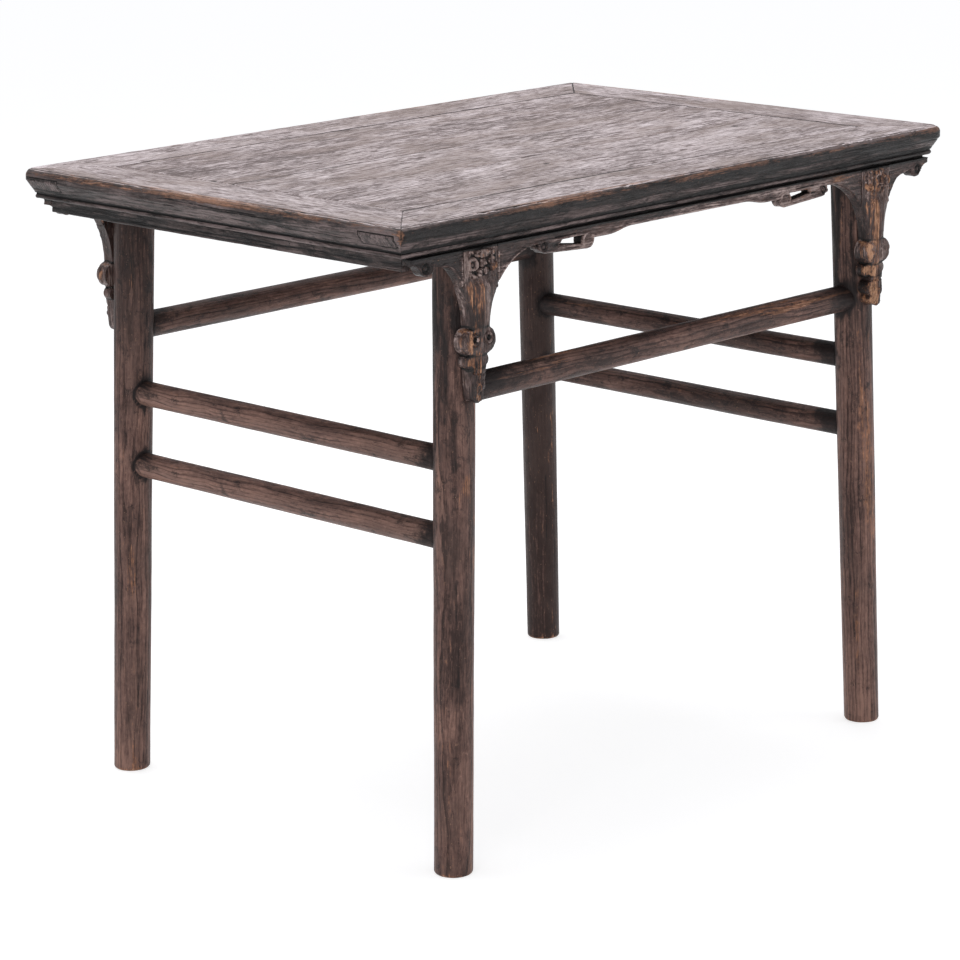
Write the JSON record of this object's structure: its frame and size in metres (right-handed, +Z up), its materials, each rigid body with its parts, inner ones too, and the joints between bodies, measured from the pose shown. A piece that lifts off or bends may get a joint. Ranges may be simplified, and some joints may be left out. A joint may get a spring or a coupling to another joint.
{
  "type": "offering table",
  "caption": "Recessed-leg wooden offering table: mitred floating-panel top, carved aprons and brackets, splayed round legs, round stretchers.",
  "frame": {"origin": "middle of the footprint on the floor, under the middle of the top", "axes": "+X along the length, +Y from the front long side to the rear, +Z up"},
  "size_m": [1.066, 0.698, 0.838],
  "materials": {
    "top_wood": "dry, grey-brown, worn matt",
    "edge_wood": "dark, worn to brown on the arris, dull",
    "carved_wood": "dark, rubbed to orange-brown on the high places, low sheen",
    "strip_wood": "dark, dull",
    "leg_wood": "warm dark brown with open grain, low sheen",
    "stretcher_wood": "warm dark brown, worn, low sheen",
    "inside_wood": "bare, dry, matt"
  },
  "bodies": {
    "root": {"board_front": "top_wood", "board_middle": "top_wood", "board_rear": "top_wood", "frame_long_front": "edge_wood", "frame_long_rear": "edge_wood", "frame_end_left": "edge_wood", "frame_end_right": "edge_wood", "apron_front": "carved_wood", "apron_rear": "carved_wood", "bracket_front_left": "carved_wood", "bracket_front_right": "carved_wood", "bracket_rear_left": "carved_wood", "bracket_rear_right": "carved_wood", "end_apron_left": "strip_wood", "end_apron_right": "strip_wood", "leg_front_left": "leg_wood", "leg_front_right": "leg_wood", "leg_rear_left": "leg_wood", "leg_rear_right": "leg_wood", "stretcher_front": "stretcher_wood", "stretcher_rear": "stretcher_wood", "stretcher_left_upper": "stretcher_wood", "stretcher_left_lower": "stretcher_wood", "stretcher_right_upper": "stretcher_wood", "stretcher_right_lower": "stretcher_wood", "batten_left": "inside_wood", "batten_middle": "inside_wood", "batten_right": "inside_wood"}
  },
  "joints": []
}
